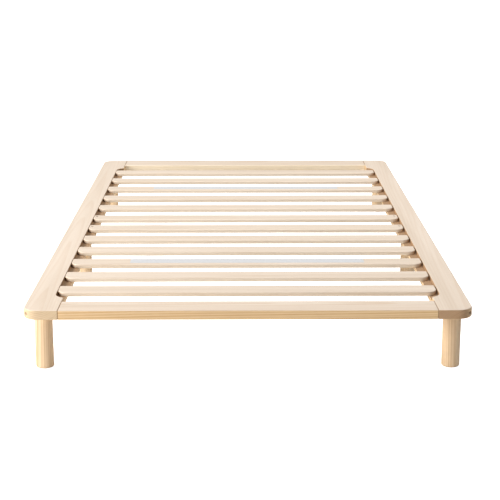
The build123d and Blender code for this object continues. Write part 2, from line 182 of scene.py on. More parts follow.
class StageSettings(bpy.types.PropertyGroup):
    """Camera, floor and lights."""

    lens: FloatProperty(
        name="Lens", description="Focal length of the camera", subtype="DISTANCE_CAMERA",
        min=20, max=300, default=93.37)
    distance: FloatProperty(
        name="Distance", description="From the foot edge of the base to the camera",
        unit="LENGTH", min=1, max=10, default=3.149)
    height: FloatProperty(
        name="Height", description="Camera above the floor",
        unit="LENGTH", min=0.1, max=5, default=1.150)
    aside: FloatProperty(
        name="Aside", description="Camera to the right of the middle",
        unit="LENGTH", min=-1, max=1, default=-0.0191)
    pitch: FloatProperty(
        name="Pitch", description="How far the camera looks down",
        subtype="ANGLE", min=0, max=1.5, default=math.radians(14.32))
    yaw: FloatProperty(
        name="Yaw", description="How far the camera turns to the right",
        subtype="ANGLE", min=-1.5, max=1.5, default=math.radians(0.43))
    key_power: FloatProperty(
        name="Key Power", description="Power of the large light at the left",
        unit="POWER", min=0, max=2000, default=170)
    side_power: FloatProperty(
        name="Side Power", description="Power of the high light at the left",
        unit="POWER", min=0, max=2000, default=520)
    top_power: FloatProperty(
        name="Top Power", description="Power of the soft light overhead",
        unit="POWER", min=0, max=2000, default=55)
    ambient: FloatProperty(
        name="Ambient", description="Brightness of the white room",
        min=0, max=2, default=0.26)
    floor_glow: FloatProperty(
        name="Floor Glow", description="How much of the floor's white is its own glow",
        min=0, max=2, default=0.9)


SETTINGS = {"bed_pine": PineSettings, "bed_slats": SlatSettings, "bed_stage": StageSettings}


# ---------------------------------------------------------------------------------------------
# Node helpers
# ---------------------------------------------------------------------------------------------
class Graph:
    """Adds nodes to a tree and wires them as it goes."""

    def __init__(self, tree):
        self.tree = tree

    def add(self, kind, inputs=None, **settings):
        node = self.tree.nodes.new(kind)
        for name, value in settings.items():
            setattr(node, name, value)
        for socket, value in (inputs or {}).items():
            self.feed(node.inputs[socket], value)
        return node

    def feed(self, socket, value):
        if isinstance(value, bpy.types.NodeSocket):
            self.tree.links.new(value, socket)
        else:
            socket.default_value = value

    def math(self, operation, *values, clamp=False):
        node = self.add("ShaderNodeMath", operation=operation, use_clamp=clamp)
        for socket, value in zip(node.inputs, values):
            self.feed(socket, value)
        return node.outputs[0]

    def vector(self, operation, *values):
        node = self.add("ShaderNodeVectorMath", operation=operation)
        for socket, value in zip(node.inputs, values):
            self.feed(socket, value)
        return node.outputs["Value" if operation == "LENGTH" else "Vector"]

    def scale(self, vector, factor):
        inputs = {"Vector": vector, "Scale": factor}
        return self.add("ShaderNodeVectorMath", inputs, operation="SCALE").outputs["Vector"]

    def compare(self, a, b, operation):
        return self.add("FunctionNodeCompare", {"A": a, "B": b}, operation=operation).outputs[0]

    def split(self, vector):
        return self.add("ShaderNodeSeparateXYZ", {"Vector": vector}).outputs

    def join(self, x, y, z):
        return self.add("ShaderNodeCombineXYZ", {"X": x, "Y": y, "Z": z}).outputs[0]

    def ramp(self, value, low, high, to_low=0.0, to_high=1.0, smooth=True):
        node = self.add(
            "ShaderNodeMapRange",
            {"Value": value, "From Min": low, "From Max": high, "To Min": to_low, "To Max": to_high},
            interpolation_type="SMOOTHSTEP" if smooth else "LINEAR",
        )
        return node.outputs[0]

    def noise(self, vector, scale=1.0, detail=2.0, roughness=0.5, output="Fac"):
        node = self.add(
            "ShaderNodeTexNoise",
            {"Vector": vector, "Scale": scale, "Detail": detail, "Roughness": roughness},
        )
        return node.outputs[output]

    def mix(self, factor, a, b, blend="MIX"):
        node = self.add("ShaderNodeMix", data_type="RGBA", blend_type=blend)
        self.feed(node.inputs[0], factor)
        self.feed(node.inputs[6], a)
        self.feed(node.inputs[7], b)
        return node.outputs[2]

    def group(self, tree, inputs):
        kind = "ShaderNodeGroup" if tree.bl_idname == "ShaderNodeTree" else "GeometryNodeGroup"
        node = self.add(kind, node_tree=tree)
        for socket, value in inputs.items():
            self.feed(node.inputs[socket], value)
        return node.outputs


SOCKETS = {
    "float": "NodeSocketFloat", "length": "NodeSocketFloat", "vector": "NodeSocketVector",
    "color": "NodeSocketColor", "int": "NodeSocketInt", "bool": "NodeSocketBool",
    "material": "NodeSocketMaterial", "geometry": "NodeSocketGeometry",
}


def new_group(name, kind, inputs, outputs):
    """A node group with named sockets, as (tree, graph, inputs, output node)."""
    tree = bpy.data.node_groups.new(name, kind)
    for label, form, value in inputs:
        socket = tree.interface.new_socket(label, in_out="INPUT", socket_type=SOCKETS[form])
        if value is not None:
            socket.default_value = value
        if form == "length":
            socket.subtype = "DISTANCE"
    for label, form in outputs:
        tree.interface.new_socket(label, in_out="OUTPUT", socket_type=SOCKETS[form])
    graph = Graph(tree)
    return tree, graph, graph.add("NodeGroupInput").outputs, graph.add("NodeGroupOutput")


def rgba(colour):
    return (*colour, 1.0)


# ---------------------------------------------------------------------------------------------
# Shader node groups
# ---------------------------------------------------------------------------------------------
def ring_group():
    """Year rings round a log whose pith runs along the vector's X, slightly tapered and wavy."""
    tree, g, given, out = new_group("Year Rings", "ShaderNodeTree", [
        ("Vector", "vector", (0, 0, 0)),
        ("Ring Width", "length", 0.0048),
        ("Wander", "length", 0.014),
        ("Taper", "float", 0.012),
    ], [("Late Wood", "float"), ("Ring Tone", "float")])
    x, y, z = g.split(given["Vector"])
    slow = g.join(g.math("MULTIPLY", x, 1.1), g.math("MULTIPLY", y, 3.0), g.math("MULTIPLY", z, 3.0))
    drift = g.vector("SUBTRACT", g.noise(slow, 1.0, 1.5, output="Color"), (0.5, 0.5, 0.5))
    drift = g.split(g.scale(drift, given["Wander"]))
    across = g.join(g.math("ADD", y, drift[0]), g.math("ADD", z, drift[1]), 0.0)
    radius = g.math("MULTIPLY_ADD", x, given["Taper"], g.vector("LENGTH", across))
    uneven = g.noise(g.vector("MULTIPLY", given["Vector"], (2.5, 60.0, 60.0)), 1.0, 1.0)
    rings = g.math("DIVIDE", radius, given["Ring Width"])
    rings = g.math("MULTIPLY_ADD", uneven, 0.5, rings)
    place = g.math("FRACT", rings)
    rise = g.ramp(place, 0.30, 0.86)
    fall = g.ramp(place, 0.90, 1.0, 1.0, 0.0)
    g.feed(out.inputs["Late Wood"], g.math("MULTIPLY", rise, fall))
    tone = g.add("ShaderNodeTexWhiteNoise", {"W": g.math("FLOOR", rings)}, noise_dimensions="1D")
    g.feed(out.inputs["Ring Tone"], tone.outputs["Value"])
    return tree


def fibre_group():
    """Long wood fibres along the vector's X: fine streaks, broad bands and their relief."""
    tree, g, given, out = new_group("Wood Fibre", "ShaderNodeTree", [
        ("Vector", "vector", (0, 0, 0)),
    ], [("Streaks", "float"), ("Bands", "float"), ("Pores", "float")])
    fine = g.vector("MULTIPLY", given["Vector"], (9.0, 620.0, 620.0))
    broad = g.vector("MULTIPLY", given["Vector"], (1.3, 34.0, 34.0))
    pores = g.vector("MULTIPLY", given["Vector"], (55.0, 2100.0, 2100.0))
    g.feed(out.inputs["Streaks"], g.noise(fine, 1.0, 3.0, 0.6))
    g.feed(out.inputs["Bands"], g.noise(broad, 1.0, 2.0, 0.5))
    g.feed(out.inputs["Pores"], g.ramp(g.noise(pores, 1.0, 1.0), 0.60, 0.72))
    return tree


def pine_group(rings, fibre):
    """Colour, roughness and relief of planed pine under clear matt lacquer, with painted light: a paler
    copy on upper faces as painted sheen, a deeper amber copy on the other faces as painted warm bounce
    light, and raw milled wood darkened as painted shade where asked.
    """
    tree, g, given, out = new_group("Planed Pine", "ShaderNodeTree", [
        ("Vector", "vector", (0, 0, 0)),
        ("Sheen Upper Face", "float", 1.0),
        ("End Grain", "float", 0.0),
        ("Sheen Face Early", "color", (0.78, 0.67, 0.56, 1)),
        ("Sheen Face Late", "color", (0.70, 0.56, 0.43, 1)),
        ("Warm Bounce Edge Early", "color", (0.74, 0.56, 0.37, 1)),
        ("Warm Bounce Edge Late", "color", (0.62, 0.41, 0.23, 1)),
        ("End Early", "color", (0.52, 0.34, 0.20, 1)),
        ("End Late", "color", (0.27, 0.14, 0.07, 1)),
        ("Ring Width", "length", 0.0048),
        ("Ring Strength", "float", 0.5),
        ("End Strength", "float", 1.0),
        # Painted shade: the raw cut mask and colour darken the rails' rebates and seams, raw milled wood
        # darkened further as shade.
        ("Raw Cut And Shade", "float", 0.0),
        ("Raw Wood And Shade Color", "color", (0.40, 0.25, 0.14, 1)),
        ("Roughness", "float", 0.48),
    ], [("Color", "color"), ("Roughness", "float"), ("Height", "float")])
    ring = g.group(rings, {"Vector": given["Vector"], "Ring Width": given["Ring Width"]})
    grain = g.group(fibre, {"Vector": given["Vector"]})
    tone = g.ramp(ring["Ring Tone"], 0.0, 1.0, 0.45, 1.0, smooth=False)
    late = g.math("MULTIPLY", ring["Late Wood"], tone)
    late = g.math("MULTIPLY", late, given["Ring Strength"], clamp=True)
    streak = g.ramp(grain["Streaks"], 0.35, 0.75, -0.10, 0.16, smooth=False)
    late = g.math("ADD", late, streak, clamp=True)
    # Painted light: the face copy is the paler painted sheen, the edge copy the deeper amber painted warm
    # bounce light.
    face = g.mix(late, given["Sheen Face Early"], given["Sheen Face Late"])
    edge = g.mix(late, given["Warm Bounce Edge Early"], given["Warm Bounce Edge Late"])
    end_late = g.math("MULTIPLY", g.math("MULTIPLY", ring["Late Wood"], tone), given["End Strength"])
    end_late = g.math("ADD", end_late, streak, clamp=True)
    end = g.mix(end_late, given["End Early"], given["End Late"])
    # Painted light: upper faces take the painted sheen copy, the other faces the painted warm bounce
    # copy.
    colour = g.mix(given["Sheen Upper Face"], edge, face)
    bands = g.ramp(grain["Bands"], 0.3, 0.7, 0.94, 1.045, smooth=False)
    band_colour = g.join(bands, g.math("POWER", bands, 1.25), g.math("POWER", bands, 1.6))
    colour = g.mix(1.0, colour, band_colour, blend="MULTIPLY")
    colour = g.mix(given["End Grain"], colour, end)
    pore = g.math("MULTIPLY", grain["Pores"], 0.10)
    colour = g.mix(pore, colour, given["End Late"])
    # Raw milled wood, darkened further as painted shade in the rails' rebates and seams.
    raw = g.mix(late, given["Raw Wood And Shade Color"], g.mix(0.35, given["Raw Wood And Shade Color"], given["End Late"]))
    colour = g.mix(given["Raw Cut And Shade"], colour, raw)
    g.feed(out.inputs["Color"], colour)
    rough = g.math("MULTIPLY_ADD", grain["Streaks"], 0.16, g.math("SUBTRACT", given["Roughness"], 0.08))
    rough = g.math("MULTIPLY_ADD", given["End Grain"], 0.2, rough)
    g.feed(out.inputs["Roughness"], rough)
    relief = g.math("MULTIPLY_ADD", ring["Late Wood"], 0.5, g.math("MULTIPLY", grain["Streaks"], 0.7))
    g.feed(out.inputs["Height"], g.math("SUBTRACT", relief, grain["Pores"]))
    return tree


# ---------------------------------------------------------------------------------------------
# Materials
# ---------------------------------------------------------------------------------------------
def new_material(name):
    material = bpy.data.materials.new(name)
    material.use_nodes = True
    material.node_tree.nodes.clear()
    return material, Graph(material.node_tree)


def pine_groups():
    """The three groups, built once and shared by every pine material."""
    found = [bpy.data.node_groups.get(name) for name in ("Year Rings", "Wood Fibre", "Planed Pine")]
    if None in found:
        rings, fibre = ring_group(), fibre_group()
        found = [rings, fibre, pine_group(rings, fibre)]
    return found


def rail_cuts_and_painted_shade(g, place):
    """Mask of a rail's raw milled wood and painted shade: the rebate, a recess darkened as painted shade,
    and the seam beside each butted end, a painted shade line in the groove between the rails.
    """
    x, y, z = g.split(place)
    out_x = g.math("ABSOLUTE", x)
    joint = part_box("foot_rail")[1].x
    # Painted shade: the rebate's shoulder, ledge and end walls, all in the recess.
    rebate = g.math("LESS_THAN", out_x, SLAT_REACH + REBATE_SLACK)
    rebate = g.math("MULTIPLY", rebate, g.math("LESS_THAN", z, RAIL_TOP - TOP_SKIN))
    rebate = g.math("MULTIPLY", rebate, g.math("GREATER_THAN", z, LEDGE_HEIGHT - LEDGE_SKIN))
    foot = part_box(SLAT_NAMES[-1])[0].y
    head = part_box(SLAT_NAMES[0])[1].y
    from_middle = g.math("ABSOLUTE", g.math("SUBTRACT", y, (foot + head) / 2))
    in_length = g.math("LESS_THAN", from_middle, (head - foot) / 2 + REBATE_END_GAP)
    rebate = g.math("MULTIPLY", rebate, in_length)
    # Painted shade: a dark band in the groove where the rails butt together.
    near_joint = g.math("ABSOLUTE", g.math("SUBTRACT", out_x, joint))
    painted_seam_shade = g.ramp(near_joint, SEAM_DARK, SEAM_CLEAR, 1.0, 0.0)
    foot_rail_edge = abs(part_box("foot_rail")[1].y)
    end_zone = g.math("GREATER_THAN", g.math("ABSOLUTE", y), foot_rail_edge - SEAM_START)
    return g.math("MAXIMUM", rebate, g.math("MULTIPLY", painted_seam_shade, end_zone))


def pine_material(name, place, grain_axis, strength=0.5, attribute=None, faces=True, cuts=False,
                  end=None, end_strength=1.0, edge=None):
    """Pine whose grain runs along grain_axis, cut from a log whose pith lies at place.

    place is the pith's offset from the piece's own origin. A piece that carries its board's
    coordinates in an attribute is read from there instead of from Object coordinates. end is the
    pale colour of its end grain and edge the pale and dark colours of its edges, where those
    differ from the settings. The edge colours are painted warm bounce light and the upper faces'
    paler colours painted sheen; faces turns that sheen on and cuts adds the painted shade of the
    rails' rebates and seams.
    """
    pine = bpy.context.scene.bed_pine
    # The edge colours are the deeper amber copy, painted warm bounce light on the sides.
    warm_bounce_edge_early, warm_bounce_edge_late = edge or (pine.warm_bounce_edge_early, pine.warm_bounce_edge_late)
    material, g = new_material(name)
    coordinate = g.add("ShaderNodeTexCoord")
    if attribute:
        source = g.add("ShaderNodeAttribute", attribute_name=attribute).outputs["Vector"]
    else:
        source = coordinate.outputs["Object"]
    turn = {"X": (0, 0, 0), "Y": (0, 0, -math.pi / 2), "Z": (0, math.pi / 2, 0)}[grain_axis]
    moved = g.vector("SUBTRACT", source, place)
    turned = g.add("ShaderNodeMapping", {"Vector": moved, "Rotation": turn}).outputs[0]
    normal = g.split(coordinate.outputs["Normal"])
    along = g.math("ABSOLUTE", normal["XYZ".index(grain_axis)])
    end_grain = g.ramp(along, 0.55, 0.92)
    # Painted light: how far each face takes the paler painted sheen copy instead of the warm bounce copy,
    # by which way it faces.
    upper = g.ramp(normal[2], 0.35, 0.95) if faces else 0.0
    if attribute:
        upper = g.ramp(normal[2], -0.9, 0.5)
    finish = g.group(pine_groups()[2], {
        "Vector": turned, "End Grain": end_grain, "Sheen Upper Face": upper,
        "Sheen Face Early": rgba(pine.sheen_face_early), "Sheen Face Late": rgba(pine.sheen_face_late),
        "Warm Bounce Edge Early": rgba(warm_bounce_edge_early), "Warm Bounce Edge Late": rgba(warm_bounce_edge_late),
        "End Early": rgba(end or pine.end_early), "End Late": rgba(pine.end_late),
        "Ring Width": pine.ring_width, "Ring Strength": strength, "Roughness": pine.roughness,
        # Raw Cut darkens the rails' rebates and seams as painted shade.
        "End Strength": end_strength, "Raw Cut And Shade": rail_cuts_and_painted_shade(g, source) if cuts else 0.0,
    })
    bump = g.add("ShaderNodeBump", {"Height": finish["Height"], "Strength": 0.25, "Distance": 0.0004})
    shader = g.add("ShaderNodeBsdfPrincipled", {
        "Base Color": finish["Color"], "Roughness": finish["Roughness"], "Normal": bump.outputs[0],
        "IOR": 1.45, "Specular IOR Level": 0.4,
    })
    g.add("ShaderNodeOutputMaterial", {"Surface": shader.outputs[0]})
    return material


def metal_material(name, colour, roughness, metallic):
    """Plated or blackened steel with faint turning marks."""
    material, g = new_material(name)
    place = g.add("ShaderNodeTexCoord").outputs["Object"]
    marks = g.noise(g.vector("MULTIPLY", place, (900.0, 900.0, 900.0)), 1.0, 3.0)
    shader = g.add("ShaderNodeBsdfPrincipled", {
        "Base Color": g.mix(g.ramp(marks, 0.3, 0.7), rgba([c * 0.8 for c in colour]), rgba(colour)),
        "Roughness": g.ramp(marks, 0.2, 0.8, roughness - 0.08, roughness + 0.1),
        "Metallic": metallic,
    })
    g.add("ShaderNodeOutputMaterial", {"Surface": shader.outputs[0]})
    return material


def film_material(name):
    """Matt white label film with a faint mottle."""
    material, g = new_material(name)
    place = g.add("ShaderNodeTexCoord").outputs["Object"]
    mottle = g.ramp(g.noise(place, 160.0, 3.0), 0.35, 0.65)
    shader = g.add("ShaderNodeBsdfPrincipled", {
        "Base Color": g.mix(mottle, (0.62, 0.635, 0.66, 1), (0.68, 0.69, 0.71, 1)),
        "Roughness": g.ramp(mottle, 0.0, 1.0, 0.42, 0.55),
    })
    g.add("ShaderNodeOutputMaterial", {"Surface": shader.outputs[0]})
    return material


def give(node, material):
    """Puts a material on a CAD node."""
    ob = frame["nodes"][node]
    ob.data.materials.clear()
    ob.data.materials.append(material)


# ---------------------------------------------------------------------------------------------
# Geometry node trees
# ---------------------------------------------------------------------------------------------
def slat_tree():
    """A flat board, rounded in plan and eased along its edges, with screw holes if asked for."""
    tree, g, given, out = new_group("Slat Board", "GeometryNodeTree", [
        ("Length", "length", 1.0), ("Width", "length", 0.068), ("Thickness", "length", 0.011),
        ("Foot Corner", "length", 0.028), ("Head Corner", "length", 0.004),
        ("Arris", "length", 0.002), ("Under Arris", "length", 0.001), ("Corner Steps", "int", 12),
        ("Centre", "vector", (0, 0, 0)), ("Log Place", "vector", (0, 0, 0)),
        ("Screwed", "bool", False), ("Screw Place", "vector", (0.5, 0.01, 0)),
        ("Recess Radius", "length", 0.0045), ("Recess Depth", "length", 0.003),
        ("Hole Radius", "length", 0.00235), ("Finish", "material", None),
    ], [("Geometry", "geometry")])
    half = g.math("DIVIDE", given["Thickness"], 2.0)
    inset = g.math("MULTIPLY", given["Arris"], 2.0)
    outline = g.add("GeometryNodeCurvePrimitiveQuadrilateral", {
        "Width": g.math("SUBTRACT", given["Length"], inset),
        "Height": g.math("SUBTRACT", given["Width"], inset),
    })
    y = g.split(g.add("GeometryNodeInputPosition").outputs[0])["Y"]
    corner = g.add("GeometryNodeSwitch", {
        "Switch": g.compare(y, 0.0, "LESS_THAN"),
        "False": g.math("SUBTRACT", given["Head Corner"], given["Arris"]),
        "True": g.math("SUBTRACT", given["Foot Corner"], given["Arris"]),
    }, input_type="FLOAT")
    rounded = g.add("GeometryNodeFilletCurve", {
        "Curve": outline.outputs[0], "Count": given["Corner Steps"], "Radius": corner.outputs[0],
    }, mode="POLY")
    # The rim's section, from the top's edge round to the underside's. Its Y runs downwards.
    section = g.add("GeometryNodeCurvePrimitiveQuadrilateral", mode="POINTS")
    g.feed(section.inputs["Point 1"], g.join(0.0, g.math("MULTIPLY", half, -1.0), 0.0))
    g.feed(section.inputs["Point 2"], g.join(given["Arris"], g.math("MULTIPLY", half, -1.0), 0.0))
    g.feed(section.inputs["Point 3"], g.join(given["Arris"], half, 0.0))
    g.feed(section.inputs["Point 4"], g.join(0.0, half, 0.0))
    # Of its four points, the first two are at the top and the outer two stay sharp.
    index = g.add("GeometryNodeInputIndex").outputs[0]
    at_top = g.compare(index, 1.5, "LESS_THAN")
    from_middle = g.math("ABSOLUTE", g.math("SUBTRACT", index, 1.5))
    stays_sharp = g.compare(from_middle, 1.0, "GREATER_THAN")
    ease = g.add("GeometryNodeSwitch", {
        "Switch": at_top, "False": given["Under Arris"], "True": given["Arris"],
    }, input_type="FLOAT")
    ease = g.add("GeometryNodeSwitch", {
        "Switch": stays_sharp, "False": ease.outputs[0], "True": 0.0}, input_type="FLOAT")
    eased = g.add("GeometryNodeFilletCurve", {
        "Curve": section.outputs[0], "Count": 4, "Radius": ease.outputs[0], "Limit Radius": True,
    }, mode="POLY")
    open_section = g.add("GeometryNodeSetSplineCyclic", {"Geometry": eased.outputs[0], "Cyclic": False})
    rim = g.add("GeometryNodeCurveToMesh", {
        "Curve": rounded.outputs[0], "Profile Curve": open_section.outputs[0]})
    rim = g.add("GeometryNodeSetShadeSmooth", {"Geometry": rim.outputs[0], "Shade Smooth": True})
    neighbours = g.add("GeometryNodeInputMeshEdgeNeighbors").outputs[0]
    rim_edge = g.compare(neighbours, 1.5, "LESS_THAN")
    height = g.split(g.add("GeometryNodeInputPosition").outputs[0])["Z"]
    caps = []
    for sign in (1.0, -1.0):
        on_side = g.compare(g.math("MULTIPLY", height, sign), 0.0, "GREATER_THAN")
        chosen = g.add("FunctionNodeBooleanMath", {0: rim_edge, 1: on_side}, operation="AND")
        loop = g.add("GeometryNodeMeshToCurve", {"Mesh": rim.outputs[0], "Selection": chosen.outputs[0]})
        fill = g.add("GeometryNodeFillCurve", {"Curve": loop.outputs[0]}, mode="NGONS")
        lift = g.join(0.0, 0.0, g.math("MULTIPLY", half, sign))
        lifted = g.add("GeometryNodeTransform", {"Geometry": fill.outputs[0], "Translation": lift})
        flat = g.add("GeometryNodeSetShadeSmooth", {
            "Geometry": lifted.outputs[0], "Shade Smooth": False})
        if sign < 0:
            flat = g.add("GeometryNodeFlipFaces", {"Mesh": flat.outputs[0]})
        caps.append(flat.outputs[0])
    whole = g.add("GeometryNodeJoinGeometry")
    for part in (rim.outputs[0], *caps):
        g.tree.links.new(part, whole.inputs[0])
    solid = g.add("GeometryNodeMergeByDistance", {"Geometry": whole.outputs[0], "Distance": 0.00002})
    # Screw holes: a wide recess over a through hole at each end.
    cutters = g.add("GeometryNodeJoinGeometry")
    for radius, depth in (("Recess Radius", given["Recess Depth"]), ("Hole Radius", given["Thickness"])):
        drill = g.add("GeometryNodeMeshCylinder", {
            "Vertices": 40, "Radius": given[radius], "Depth": g.math("MULTIPLY", depth, 2.0)})
        for side in (1.0, -1.0):
            spot = g.vector("MULTIPLY", given["Screw Place"], (side, 1.0, 1.0))
            spot = g.vector("ADD", spot, g.join(0.0, 0.0, half))
            placed = g.add("GeometryNodeTransform", {
                "Geometry": drill.outputs["Mesh"], "Translation": spot})
            g.tree.links.new(placed.outputs[0], cutters.inputs[0])
    bored = g.add("GeometryNodeMeshBoolean", {1: cutters.outputs[0]},
                  operation="DIFFERENCE", solver="EXACT")
    g.tree.links.new(solid.outputs[0], bored.inputs["Mesh 1"])
    bored.inputs["Self Intersection"].default_value = True
    board = g.add("GeometryNodeSwitch", {
        "Switch": given["Screwed"], "False": solid.outputs[0], "True": bored.outputs[0],
    }, input_type="GEOMETRY")
    position = g.add("GeometryNodeInputPosition").outputs[0]
    named = g.add("GeometryNodeStoreNamedAttribute", {
        "Geometry": board.outputs[0], "Name": "board_place",
        "Value": g.vector("ADD", position, given["Log Place"]),
    }, data_type="FLOAT_VECTOR", domain="POINT")
    moved = g.add("GeometryNodeTransform", {"Geometry": named.outputs[0], "Translation": given["Centre"]})
    real = g.add("GeometryNodeRealizeInstances", {"Geometry": moved.outputs[0]})
    done = g.add("GeometryNodeSetMaterial", {"Geometry": real.outputs[0], "Material": given["Finish"]})
    g.feed(out.inputs["Geometry"], done.outputs[0])
    return tree


def thread_tree():
    """A threaded rod standing on the origin, with a chamfer or a point at its lower end."""
    tree, g, given, out = new_group("Threaded Rod", "GeometryNodeTree", [
        ("Radius", "length", 0.004), ("Core Radius", "length", 0.0034), ("Length", "length", 0.05),
        ("Pitch", "length", 0.00125), ("Point", "length", 0.001), ("Tip Radius", "length", 0.003),
        ("Chamfer", "length", 0.0008),
    ], [("Geometry", "geometry")])
    steps = g.math("ROUND", g.math("MULTIPLY", g.math("DIVIDE", given["Length"], given["Pitch"]), 6.0))
    rod = g.add("GeometryNodeMeshCylinder", {
        "Vertices": 24, "Side Segments": steps, "Radius": given["Radius"], "Depth": given["Length"]})
    raised = g.add("GeometryNodeTransform", {
        "Geometry": rod.outputs["Mesh"],
        "Translation": g.join(0.0, 0.0, g.math("DIVIDE", given["Length"], 2.0))})
    x, y, z = g.split(g.add("GeometryNodeInputPosition").outputs[0])
    turn = g.math("DIVIDE", g.math("ARCTAN2", y, x), 2 * math.pi)
    phase = g.math("FRACT", g.math("SUBTRACT", g.math("DIVIDE", z, given["Pitch"]), turn))
    ridge = g.math("ABSOLUTE", g.math("MULTIPLY_ADD", phase, 2.0, -1.0))
    depth = g.math("SUBTRACT", given["Radius"], given["Core Radius"])
    radius = g.math("MULTIPLY_ADD", ridge, depth, given["Core Radius"])
    low = g.math("DIVIDE", z, given["Point"], clamp=True)
    low = g.math("MULTIPLY_ADD", low, g.math("SUBTRACT", given["Radius"], given["Tip Radius"]),
                 given["Tip Radius"])
    above = g.math("SUBTRACT", given["Length"], z)
    high = g.math("ADD", g.math("SUBTRACT", given["Radius"], given["Chamfer"]), above)
    radius = g.math("MINIMUM", radius, g.math("MINIMUM", low, high))
    flat = g.join(x, y, 0.0)
    placed = g.vector("MULTIPLY", g.vector("NORMALIZE", flat), g.join(radius, radius, radius))
    thread = g.add("GeometryNodeSetPosition", {
        "Geometry": raised.outputs[0], "Position": g.vector("ADD", placed, g.join(0.0, 0.0, z))})
    g.feed(out.inputs["Geometry"], thread.outputs[0])
    return tree


def stud_tree(thread):
    """A leg's hanger stud, threaded from end to end."""
    tree, g, given, out = new_group("Leg Stud", "GeometryNodeTree", [
        ("Radius", "length", 0.004), ("Length", "length", 0.05), ("Pitch", "length", 0.00125),
        ("Point", "length", 0.005), ("Foot", "vector", (0, 0, 0)), ("Finish", "material", None),
    ], [("Geometry", "geometry")])
    rod = g.group(thread, {
        "Radius": given["Radius"], "Core Radius": g.math("MULTIPLY", given["Radius"], 0.85),
        "Length": given["Length"], "Pitch": given["Pitch"], "Point": given["Point"],
        "Tip Radius": g.math("MULTIPLY", given["Radius"], 0.35),
    })
    moved = g.add("GeometryNodeTransform", {"Geometry": rod[0], "Translation": given["Foot"]})
    real = g.add("GeometryNodeRealizeInstances", {"Geometry": moved.outputs[0]})
    done = g.add("GeometryNodeSetMaterial", {"Geometry": real.outputs[0], "Material": given["Finish"]})
    g.feed(out.inputs["Geometry"], done.outputs[0])
    return tree


def screw_tree(thread):
    """Two countersunk cross-head wood screws, one at each end of a slat."""
    tree, g, given, out = new_group("Slat Screws", "GeometryNodeTree", [
        ("Head Radius", "length", 0.0042), ("Head Height", "length", 0.0022),
        ("Shank Radius", "length", 0.0021), ("Length", "length", 0.021),
        ("Pitch", "length", 0.0018), ("Point", "length", 0.004), ("Spread", "length", 0.98),
        ("Cross Length", "length", 0.0046), ("Cross Width", "length", 0.0009),
        ("Cross Depth", "length", 0.0012), ("Centre", "vector", (0, 0, 0)),
        ("Turn", "float", 0.4), ("Finish", "material", None),
    ], [("Geometry", "geometry")])
    blank = g.add("GeometryNodeMeshCylinder", {
        "Vertices": 32, "Side Segments": 2, "Fill Segments": 5,
        "Radius": given["Head Radius"], "Depth": given["Head Height"]})
    x, y, z = g.split(g.add("GeometryNodeInputPosition").outputs[0])
    reach = g.math("DIVIDE", g.vector("LENGTH", g.join(x, y, 0.0)), given["Head Radius"])
    top = g.math("GREATER_THAN", z, 0.0001)
    under = g.math("LESS_THAN", z, -0.0001)
    crown = g.math("MULTIPLY", given["Head Height"], -0.28)
    drop = g.math("MULTIPLY", g.math("POWER", reach, 2.0), crown)
    lip = g.math("MULTIPLY_ADD", under, -0.45, 1.0)
    shaped = g.join(g.math("MULTIPLY", x, lip), g.math("MULTIPLY", y, lip),
                    g.math("ADD", g.math("MULTIPLY", drop, top), z))
    head = g.add("GeometryNodeSetPosition", {"Geometry": blank.outputs["Mesh"], "Position": shaped})
    cutters = g.add("GeometryNodeJoinGeometry")
    for long_side, short_side in (("Cross Length", "Cross Width"), ("Cross Width", "Cross Length")):
        bar = g.add("GeometryNodeMeshCube", {"Size": g.join(
            given[long_side], given[short_side], g.math("MULTIPLY", given["Cross Depth"], 2.0))})
        lifted = g.add("GeometryNodeTransform", {
            "Geometry": bar.outputs["Mesh"],
            "Translation": g.join(0.0, 0.0, g.math("DIVIDE", given["Head Height"], 2.0))})
        g.tree.links.new(lifted.outputs[0], cutters.inputs[0])
    cut = g.add("GeometryNodeMeshBoolean", operation="DIFFERENCE", solver="EXACT")
    g.feed(cut.inputs["Mesh 1"], head.outputs[0])
    g.feed(cut.inputs["Mesh 2"], cutters.outputs[0])
    cut.inputs["Self Intersection"].default_value = True
    shank = g.math("SUBTRACT", given["Length"], given["Head Height"])
    rod = g.group(thread, {
        "Radius": given["Shank Radius"], "Core Radius": g.math("MULTIPLY", given["Shank Radius"], 0.7),
        "Length": shank, "Pitch": given["Pitch"], "Point": given["Point"], "Tip Radius": 0.0002,
        "Chamfer": 0.0,
    })
    top_of_rod = g.math("MULTIPLY_ADD", given["Head Height"], -0.5, 0.0001)
    sunk = g.add("GeometryNodeTransform", {
        "Geometry": rod[0], "Translation": g.join(0.0, 0.0, g.math("SUBTRACT", top_of_rod, shank))})
    screw = g.add("GeometryNodeJoinGeometry")
    g.tree.links.new(cut.outputs[0], screw.inputs[0])
    g.tree.links.new(sunk.outputs[0], screw.inputs[0])
    half = g.math("DIVIDE", given["Spread"], 2.0)
    ends = g.add("GeometryNodeMeshLine", {
        "Count": 2, "Start Location": g.join(g.math("MULTIPLY", half, -1.0), 0.0, 0.0),
        "Offset": g.join(given["Spread"], 0.0, 0.0)})
    index = g.add("GeometryNodeInputIndex").outputs[0]
    twist = g.math("MULTIPLY", g.math("ADD", index, 1.0), given["Turn"])
    pair = g.add("GeometryNodeInstanceOnPoints", {
        "Points": ends.outputs[0], "Instance": screw.outputs[0], "Rotation": g.join(0.0, 0.0, twist)})
    moved = g.add("GeometryNodeTransform", {"Geometry": pair.outputs[0], "Translation": given["Centre"]})
    real = g.add("GeometryNodeRealizeInstances", {"Geometry": moved.outputs[0]})
    done = g.add("GeometryNodeSetMaterial", {"Geometry": real.outputs[0], "Material": given["Finish"]})
    g.feed(out.inputs["Geometry"], done.outputs[0])
    return tree


